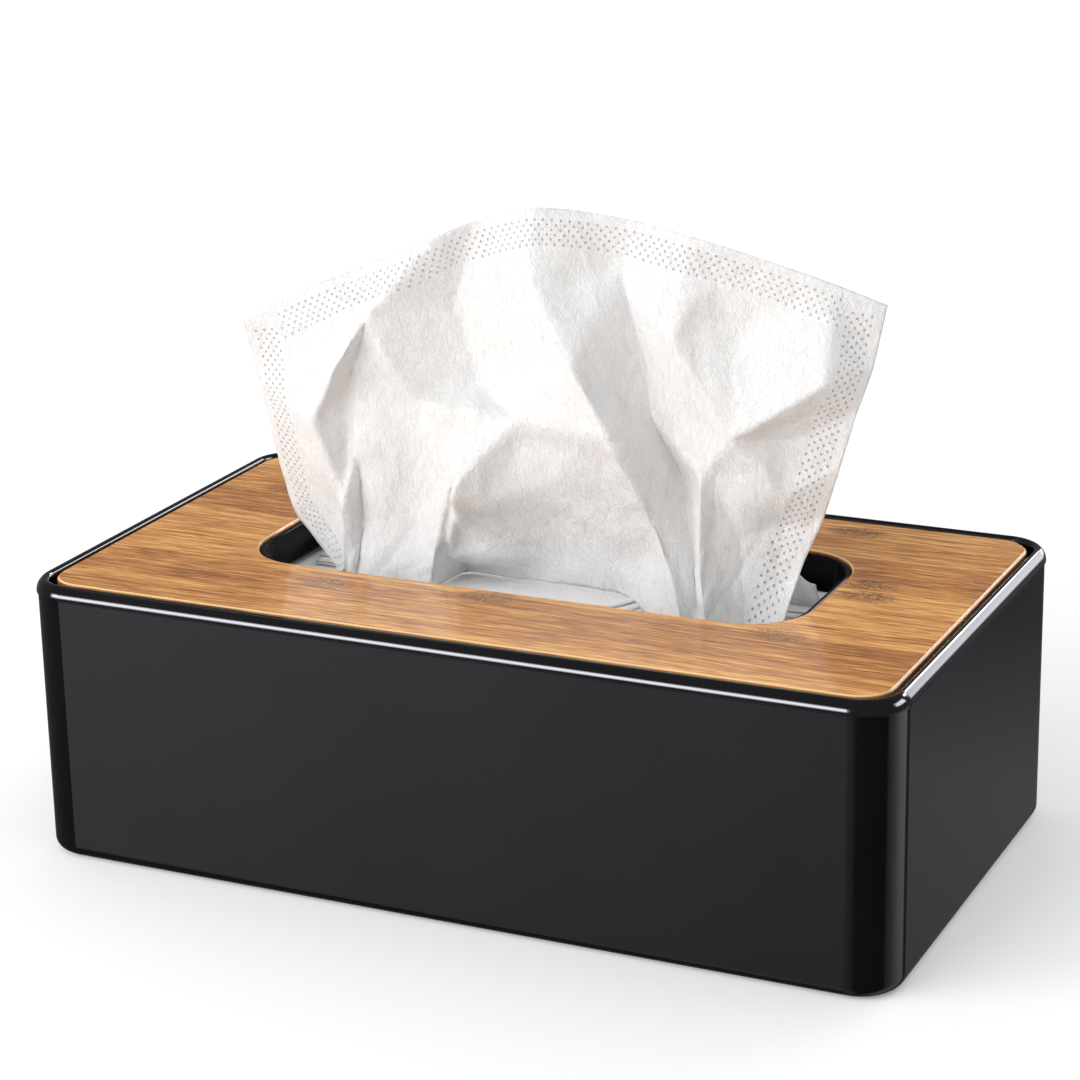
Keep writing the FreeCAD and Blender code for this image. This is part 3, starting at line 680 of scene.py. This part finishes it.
def along_surface(places, sides, sources, reach):
    """Each point's distance over the surface from a set of points, in mm, up to a reach."""
    count = len(places)
    away = np.full(count, FAR)
    away[sources] = 0.0
    lengths = np.linalg.norm(places[sides[:, 0]] - places[sides[:, 1]], axis=1) / MM
    for _ in range(count):
        before = away.copy()
        np.minimum.at(away, sides[:, 0], before[sides[:, 1]] + lengths)
        np.minimum.at(away, sides[:, 1], before[sides[:, 0]] + lengths)
        changed = away[away < reach].sum() != before[before < reach].sum()
        if not changed:
            break
    return away


def vertex_normals(places, triangles):
    """The mean normal at each point."""
    a, b, c = (places[triangles[:, k]] for k in range(3))
    face = np.cross(b - a, c - a)
    normals = np.zeros_like(places)
    for k in range(3):
        np.add.at(normals, triangles[:, k], face)
    return normals / np.maximum(np.linalg.norm(normals, axis=1), 1e-12)[:, None]


def shallow_folds(places):
    """Make the two folds on the sheet's left side shallower than the solid's flat facets do."""
    x = places[:, 0]
    z = places[:, 2]
    # One lies between the left edge and X -34 mm, and is filled less from 100 mm up
    channel = (unit_step(x, -0.0580, -0.0540) * unit_step(-x, 0.034, 0.050)
               * (1.0 - 0.60 * unit_step(z, 0.100, 0.128)) * unit_step(-z, -0.146, -0.128))
    # The other lies to the right of the crest, up to 118 mm
    crest = np.interp(z, CREST_HEIGHTS, CREST_ACROSS)
    side = (unit_step(x, crest, crest + CREST_WIDTH) * unit_step(-x, -0.004, 0.021)
            * unit_step(z, CREST_HEIGHTS[0], 0.0800) * unit_step(-z, -0.118, -0.098))
    moved = places.copy()
    moved[:, 1] -= CHANNEL_LIFT * channel + SIDE_LIFT * side
    return moved


def tuck_foot(places):
    """Bring the foot of the sheet's two sides forward and down, below the slot's front edge."""
    foot = places[:, 2].min()
    share = 1.0 - np.clip((places[:, 2] - foot) / TUCK_HEIGHT, 0.0, 1.0)
    x = places[:, 0]
    beside = (unit_step(x, 0.018, 0.034) + 0.62 * unit_step(-x, 0.030, 0.037)
              * unit_step(-x, 0.066, 0.058))
    drop = share ** 1.6 * beside
    moved = places.copy()
    moved[:, 1] -= TUCK_FORWARD * drop
    moved[:, 2] -= TUCK_DOWN * drop
    return moved


def pleats_at(x, z):
    """The small pleats that fan out from where the sheet is pinched, as a share of their height."""
    pleats = 0.0
    for gather_x, gather_z, turn in GATHERS:
        off_x = x - gather_x
        off_z = z - gather_z
        reach = math.hypot(off_x, off_z)
        angle = math.atan2(off_x, off_z)
        fade = math.exp(-reach / PLEAT_FADE) * float(unit_step(reach, 0.0, 0.010))
        pleats += fade * (0.25 - abs(noise.noise(Vector((angle * 5.5, reach * 9.0, turn)))))
    return pleats


def crinkle(places, normals, calm):
    """Small creases, waves and pleats along each point's normal."""
    lift = np.zeros(len(places))
    for number, (x, y, z) in enumerate(places):
        wave = noise.noise(Vector((x, y, z)) * WAVE_SCALE)
        bent = Vector((x + 0.006 * wave, y, z - 0.006 * wave))
        broad = abs(noise.noise(bent * BROAD_SCALE + Vector((2.0, 9.0, 1.0))))
        crease = abs(noise.noise(Vector((bent.x * 1.3, y, bent.z * 0.8)) * MIDDLE_SCALE
                                 + Vector((7.0, 3.0, 5.0))))
        fine = abs(noise.noise(bent * FINE_SCALE))
        lift[number] = (BROAD_CREASE * (0.2 - broad) + MIDDLE_CREASE * (0.2 - crease)
                        + FINE_CREASE * (0.2 - fine)
                        + PLEAT_HEIGHT * pleats_at(x, z)) * calm[number]
    return places + normals * lift[:, None]


def press_folds(places, calm):
    """Move the folds and hollows of FOLDS towards the front."""
    flat = places[:, [0, 2]]
    lift = np.zeros(len(places))
    for height, reach, corners in FOLDS:
        for start, end in zip(corners, corners[1:]):
            first = np.array(start) * MM
            run = np.array(end) * MM - first
            share = np.clip((flat - first) @ run / (run @ run), 0.0, 1.0)
            away = np.linalg.norm(flat - first - share[:, None] * run, axis=1)
            lift = np.maximum(lift, height * MM * np.clip(1.0 - away / (reach * MM), 0.0, 1.0))
    moved = places.copy()
    moved[:, 1] -= lift * calm
    return moved


def make_standing_sheet(paper):
    """The tissue that stands in the slot, from the facets of its CAD solid."""
    points, facets = sheet_net(NODES["pulled_tissue"])
    places, triangles, found = divide_net(points, facets, SHEET_CELLS)
    sides, outline = edge_sides(triangles)
    sharp = fold_sharpness(points, facets, found, len(places))
    top_left, top_right, foot_left, foot_right = (int(n) for n in corner_points(places, outline))
    numbers = np.unique(outline)
    summit = int(numbers[np.argmax(places[numbers, 2])])
    top_path = walk(outline, top_left, top_right, summit, True)
    from_top = from_line(places, places[top_path])[1]
    near_top = unit_step(-from_top, -TOP_REACH, -TOP_FULL)[:, None]
    places = relax(shallow_folds(places), sides, outline, sharp, SHEET_SMOOTHING)
    places = relax(places, sides, outline, np.zeros_like(sharp), TOP_SMOOTHING, near_top)
    lines = {"left_edge": walk(outline, top_left, foot_left, summit, False),
             "right_edge": walk(outline, top_right, foot_right, summit, False),
             "top_edge": top_path}
    spans = {}
    for name, path in lines.items():
        along, away = from_line(places, places[path])
        over = along_surface(places, sides, path, EDGE_REACH)
        spans[name] = (along, np.where(over > EDGE_REACH, EDGE_REACH * 2, away))
    places = tuck_foot(places)
    near_edge = np.minimum(np.minimum(spans["left_edge"][1], spans["right_edge"][1]),
                           spans["top_edge"][1])
    calm = EDGE_CALM + (1.0 - EDGE_CALM) * unit_step(near_edge, CALM_FROM, CALM_TO)
    foot = places[:, 2].min()
    calm *= unit_step(places[:, 2], foot, foot + FOOT_CALM)
    places = press_folds(places, calm)
    places = crinkle(places, vertex_normals(places, triangles), calm)
    sheet = new_object("tissue_sheet", places, triangles, paper)
    mesh = sheet.data
    vertex_of_loop = np.zeros(len(mesh.loops), int)
    mesh.loops.foreach_get("vertex_index", vertex_of_loop)
    for name, (along, away) in spans.items():
        layer = mesh.uv_layers.new(name=name)
        flat = np.stack([along[vertex_of_loop], away[vertex_of_loop]], axis=1)
        layer.data.foreach_set("uv", flat.reshape(-1).astype(np.float32))
    thicken(sheet, SHEET_THICKNESS)
    return sheet


def folded_section(front, back, level):
    """The next tissue cut across, as Y and Z: layers to and fro, joined by small turns."""
    section = []
    for number, (front_inset, back_inset) in enumerate(zip(FRONT_EDGES, BACK_EDGES)):
        start = front + front_inset
        finish = back - back_inset
        way = 1.0
        if number % 2:
            start, finish = finish, start
            way = -1.0
        for step in range(LAYER_STEPS + 1):
            share = step / LAYER_STEPS
            section.append((start + (finish - start) * share, level))
        if number < len(FRONT_EDGES) - 1:
            for step in range(1, TURN_STEPS):
                angle = math.pi * step / TURN_STEPS
                section.append((finish + way * TURN_REACH * math.sin(angle),
                                level + LAYER_GAP * (1 - math.cos(angle)) / 2))
        level += LAYER_GAP
    return section


def settle(place, top_share, left, right, front, back):
    """How far a point of the next tissue lies off its even place, along X and Y.

    Its edges wander, its two ends are narrower than its middle, and the right end slants.
    """
    x, y, z = place
    layer = round(z / LAYER_GAP)
    wander = EDGE_WANDER * noise.noise(Vector((x * 30.0, 3.0, layer * 5.0)))
    narrow = (NARROW_RIGHT * float(unit_step(x, 0.019, 0.034))
              + NARROW_LEFT * float(unit_step(-x, 0.030, 0.045)))
    off_y = (wander if abs(y - front) < 0.03 else 0.0) + narrow * (back - y)
    off_x = END_WANDER * noise.noise(Vector((y * 90.0, 8.0, layer * 3.0)))
    off_x *= float(unit_step(min(x - left, right - x), 0.006, 0.0))
    end = float(unit_step(x, right - 0.030, right))
    off_x -= end * END_SLANT * (0.6 + 0.5 * math.sin(y * 210.0)) * (0.4 + 0.6 * top_share)
    return off_x, off_y


def draw_up(x, y, settled_y, right):
    """How far a point of the top layers moves where their right end is drawn up in a ridge."""
    drawn = float(unit_step(x, right - 0.024, right - 0.010))
    ridge = math.exp(-((settled_y - RIDGE_Y) / RIDGE_WIDTH) ** 2)
    lean = 1.0 - 0.25 * float(unit_step(x, right - 0.006, right))
    crumple = noise.noise(Vector((x * 170.0, y * 300.0, 9.0)))
    return (drawn * ridge * (lean * -0.0032 + 0.0016 * crumple),
            drawn * ridge * 0.0022 * noise.noise(Vector((x * 210.0, 5.0, y * 90.0))),
            drawn * ridge * lean * (RIDGE_HEIGHT + 0.0014 * crumple))


def make_next_tissue(paper):
    """The next tissue: one long sheet folded to and fro, with an end drawn up behind."""
    low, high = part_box("next_tissue")
    left = low.x + NEXT_INSET
    right = high.x - NEXT_INSET
    front = low.y + NEXT_INSET
    back = high.y - NEXT_INSET
    fold_top = low.z + FOLD_TOP
    section = folded_section(front, back, low.z + FIRST_LAYER)
    places = []
    count = len(section)
    for column in range(NEXT_COLUMNS + 1):
        x = left + (right - left) * (column / NEXT_COLUMNS)
        for number, (y, z) in enumerate(section):
            top_share = number / (count - 1)
            lift = WAVINESS * noise.noise(Vector((x * 45.0, y * 60.0, number * 0.02)))
            off_x, off_y = settle((x, y, z), top_share, left, right, front, back)
            across = 0.0
            if top_share > DRAWN_SHARE:
                across, backward, upward = draw_up(x, y, y + off_y, right)
                off_y += backward
                lift += upward
            places.append((x + off_x + across, y + off_y, min(z, fold_top) + lift))
    faces = []
    for column in range(NEXT_COLUMNS):
        for number in range(count - 1):
            a = column * count + number
            faces.append((a, a + 1, a + count + 1, a + count))
    tissue = new_object("next_tissue_fold", places, faces, paper)
    thicken(tissue, NEXT_THICKNESS)
    return tissue


def rounded_ring(half_x, half_y):
    """Points round an oblong with rounded corners, about PACK_SPACING apart."""
    around = []
    for turn, (side_x, side_y) in enumerate(((1, 1), (-1, 1), (-1, -1), (1, -1))):
        for step in range(5):
            angle = (turn + step / 4) * math.pi / 2
            around.append((side_x * (half_x - PACK_CORNER) + PACK_CORNER * math.cos(angle),
                           side_y * (half_y - PACK_CORNER) + PACK_CORNER * math.sin(angle)))
    ring = []
    for number, start in enumerate(around):
        finish = around[(number + 1) % len(around)]
        pieces = max(1, round(math.dist(start, finish) / PACK_SPACING))
        for step in range(pieces):
            share = step / pieces
            ring.append((start[0] + (finish[0] - start[0]) * share,
                         start[1] + (finish[1] - start[1]) * share))
    return ring


def make_pack(paper):
    """The pack: folded tissues one on another, each a little out of line."""
    low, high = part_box("tissue_stack")
    ring = rounded_ring((high.x - low.x) / 2 - PACK_INSET, (high.y - low.y) / 2 - PACK_INSET)
    middle_x = (high.x + low.x) / 2
    middle_y = (high.y + low.y) / 2
    height = (high.z - low.z) / PACK_LAYERS
    places = []
    for layer in range(PACK_LAYERS):
        shift_x = PACK_SHIFT * noise.noise(Vector((layer * 1.7, 0.3, 0.0)))
        shift_y = PACK_SHIFT * noise.noise(Vector((layer * 1.3, 4.1, 0.0)))
        for share, inset in LAYER_LEVELS:
            z = low.z + (layer + share) * height
            for x, y in ring:
                rough = PACK_ROUGHNESS * noise.noise(Vector((x * 60.0, y * 60.0, layer * 2.3)))
                reach = 1.0 - (inset + rough * 0.5) / math.hypot(x, y)
                places.append((middle_x + x * reach + shift_x, middle_y + y * reach + shift_y, z))
    count = len(ring)
    rings = PACK_LAYERS * len(LAYER_LEVELS)
    faces = []
    for level in range(rings - 1):
        a = level * count
        for number in range(count):
            following = (number + 1) % count
            faces.append((a + number, a + following, a + count + following, a + count + number))
    faces.append(tuple(reversed(range(count))))
    faces.append(tuple(range((rings - 1) * count, rings * count)))
    return new_object("tissue_pack", places, faces, paper)


def set_material(node, material):
    """Give a CAD node its finish."""
    node.data.materials.clear()
    node.data.materials.append(material)


def area_light(name, place, size, power):
    """A square soft box that points at the middle of the object."""
    data = bpy.data.lights.new(name, "AREA")
    data.shape = "RECTANGLE"
    data.size = size
    data.size_y = size
    data.energy = power
    made = bpy.data.objects.new(name, data)
    made.visible_glossy = False
    made.location = place
    made.rotation_euler = (Vector(LIGHT_AIM) - Vector(place)).to_track_quat("-Z", "Y").to_euler()
    bpy.context.scene.collection.objects.link(made)


def make_stage():
    """The pale floor. It shows white, and keeps the box's soft shadow."""
    corners = [(side_x * FLOOR_HALF, side_y * FLOOR_HALF, -FLOOR_DROP)
               for side_x, side_y in ((-1, -1), (1, -1), (1, 1), (-1, 1))]
    material, tree, shader = new_material("pale_floor")
    shader.inputs["Base Color"].default_value = (*FLOOR_TONE, 1.0)
    shader.inputs["Roughness"].default_value = 0.9
    shader.inputs["Specular IOR Level"].default_value = 0.0
    path = make(tree, "ShaderNodeLightPath")
    shown = calc(tree, "MAXIMUM", path.outputs["Is Camera Ray"], path.outputs["Is Glossy Ray"])
    shader.inputs["Emission Color"].default_value = (1.0, 1.0, 1.0, 1.0)
    place = make(tree, "ShaderNodeTexCoord").outputs["Object"]
    reach = make(tree, "ShaderNodeVectorMath", {0: place}, operation="LENGTH").outputs["Value"]
    glow = rescale(tree, reach, *GLOW_REACH, *GLOW, smooth=True)
    tree.links.new(calc(tree, "MULTIPLY", shown, glow), shader.inputs["Emission Strength"])
    floor = new_object("studio_floor", corners, [(0, 1, 2, 3)], material, smooth=False)
    floor.visible_glossy = False


def make_world():
    """A white studio, with darker flags and paler cards that only the gloss shows."""
    world = bpy.data.worlds.new("studio")
    world.use_nodes = True
    tree = world.node_tree
    for old in list(tree.nodes):
        tree.nodes.remove(old)
    way = make(tree, "ShaderNodeTexCoord").outputs["Generated"]
    parts = make(tree, "ShaderNodeSeparateXYZ", {"Vector": way})
    heading = calc(tree, "ARCTAN2", parts.outputs["X"],
                   calc(tree, "MULTIPLY", parts.outputs["Y"], -1.0))
    turn = calc(tree, "ADD", calc(tree, "DIVIDE", heading, 2 * math.pi), 0.5)
    rise = calc(tree, "MULTIPLY", calc(tree, "ARCSINE", parts.outputs["Z"]), 180 / math.pi)
    round_about = [((angle + 180.0) / 360.0, value) for angle, value in STUDIO_ROUND]
    cards = ramp(tree, turn, round_about)
    front = rescale(tree, rise, *FRONT_FOOT, 0.55, 1.0)
    side_low = rescale(tree, rise, *SIDE_FOOT, 0.8, 1.0)
    side_high = rescale(tree, rise, *SIDE_HEAD, 1.0, 0.45)
    side = calc(tree, "MULTIPLY", side_low, side_high)
    behind = calc(tree, "GREATER_THAN", turn, (BEHIND_HEADING + 180.0) / 360.0)
    fall = calc(tree, "ADD", calc(tree, "MULTIPLY", side, behind),
                calc(tree, "MULTIPLY", front, calc(tree, "SUBTRACT", 1.0, behind)))
    low_part = calc(tree, "MULTIPLY", cards, fall)
    upper = rescale(tree, rise, *CEILING_START)
    gloss = calc(tree, "ADD", calc(tree, "MULTIPLY", low_part, calc(tree, "SUBTRACT", 1.0, upper)),
                 calc(tree, "MULTIPLY", upper, CEILING))
    degrees = calc(tree, "MULTIPLY", heading, 180 / math.pi)
    for left, right, foot, head, soft, strength in STUDIO_CARDS:
        across = calc(tree, "MULTIPLY", rescale(tree, degrees, left - soft, left + soft),
                      rescale(tree, degrees, right - soft, right + soft, 1.0, 0.0))
        upward = calc(tree, "MULTIPLY", rescale(tree, rise, foot - soft, foot + soft),
                      rescale(tree, rise, head - soft, head + soft, 1.0, 0.0))
        card = calc(tree, "MULTIPLY", calc(tree, "MULTIPLY", across, upward), strength)
        gloss = calc(tree, "ADD", gloss, card)
    path = make(tree, "ShaderNodeLightPath").outputs
    plain = calc(tree, "MAXIMUM", path["Is Camera Ray"], path["Is Transmission Ray"])
    glossy = calc(tree, "MULTIPLY", path["Is Glossy Ray"], gloss)
    rest = calc(tree, "SUBTRACT", 1.0, calc(tree, "MAXIMUM", plain, path["Is Glossy Ray"]))
    strength = calc(tree, "ADD", calc(tree, "ADD", plain, glossy),
                    calc(tree, "MULTIPLY", rest, AMBIENT))
    tint = blend(tree, path["Is Glossy Ray"], (1.0, 1.0, 1.0), (0.95, 0.93, 1.0))
    back = make(tree, "ShaderNodeBackground", {"Color": tint, "Strength": strength})
    output = make(tree, "ShaderNodeOutputWorld")
    tree.links.new(back.outputs[0], output.inputs["Surface"])
    bpy.context.scene.world = world


def make_camera():
    """The camera at the photograph's viewing angle."""
    back = Vector((math.sin(CAMERA_TURN) * math.cos(CAMERA_RISE),
                   -math.cos(CAMERA_TURN) * math.cos(CAMERA_RISE), math.sin(CAMERA_RISE)))
    right = Vector((math.cos(CAMERA_TURN), math.sin(CAMERA_TURN), 0.0))
    up = back.cross(right)
    rolled_right = right * math.cos(CAMERA_ROLL) + up * math.sin(CAMERA_ROLL)
    rolled_up = up * math.cos(CAMERA_ROLL) - right * math.sin(CAMERA_ROLL)
    place = rolled_right * CAMERA_ACROSS + rolled_up * CAMERA_UP + back * CAMERA_DISTANCE
    data = bpy.data.cameras.new("photo_camera")
    data.lens = CAMERA_LENS
    data.sensor_width = SENSOR_WIDTH
    camera = bpy.data.objects.new("photo_camera", data)
    turned = Matrix((rolled_right, rolled_up, back)).transposed()
    camera.matrix_world = Matrix.Translation(place) @ turned.to_4x4()
    bpy.context.scene.collection.objects.link(camera)
    bpy.context.scene.camera = camera


set_material(NODES["tub"], gloss_plastic("black_gloss_plastic", (0.0028, 0.0028, 0.0034), 0.085))
set_material(NODES["slot_collar"], gloss_plastic("collar_gloss_plastic", (0.004, 0.004, 0.0045),
                                                 0.16, shine=0.05))
set_material(NODES["bamboo_lid"], bamboo_board())

sheet = make_standing_sheet(tissue_paper("embossed_tissue", embossed=True))
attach(sheet, "lid")
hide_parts("pulled_tissue")

next_fold = make_next_tissue(tissue_paper("folded_tissue", embossed=False))
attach(next_fold, "box")
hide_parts("next_tissue")

pack = make_pack(stack_paper())
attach(pack, "box")
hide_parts("tissue_stack")

make_stage()
make_world()
area_light("key_left", (-1.05, -0.85, 0.75), 0.6, 6.5)
area_light("fill_front", (-0.55, -1.35, 0.58), 1.0, 11.0)
area_light("fill_back", (0.55, 1.50, 0.60), 1.0, 7.5)
make_camera()
bpy.context.scene.view_settings.view_transform = "Standard"
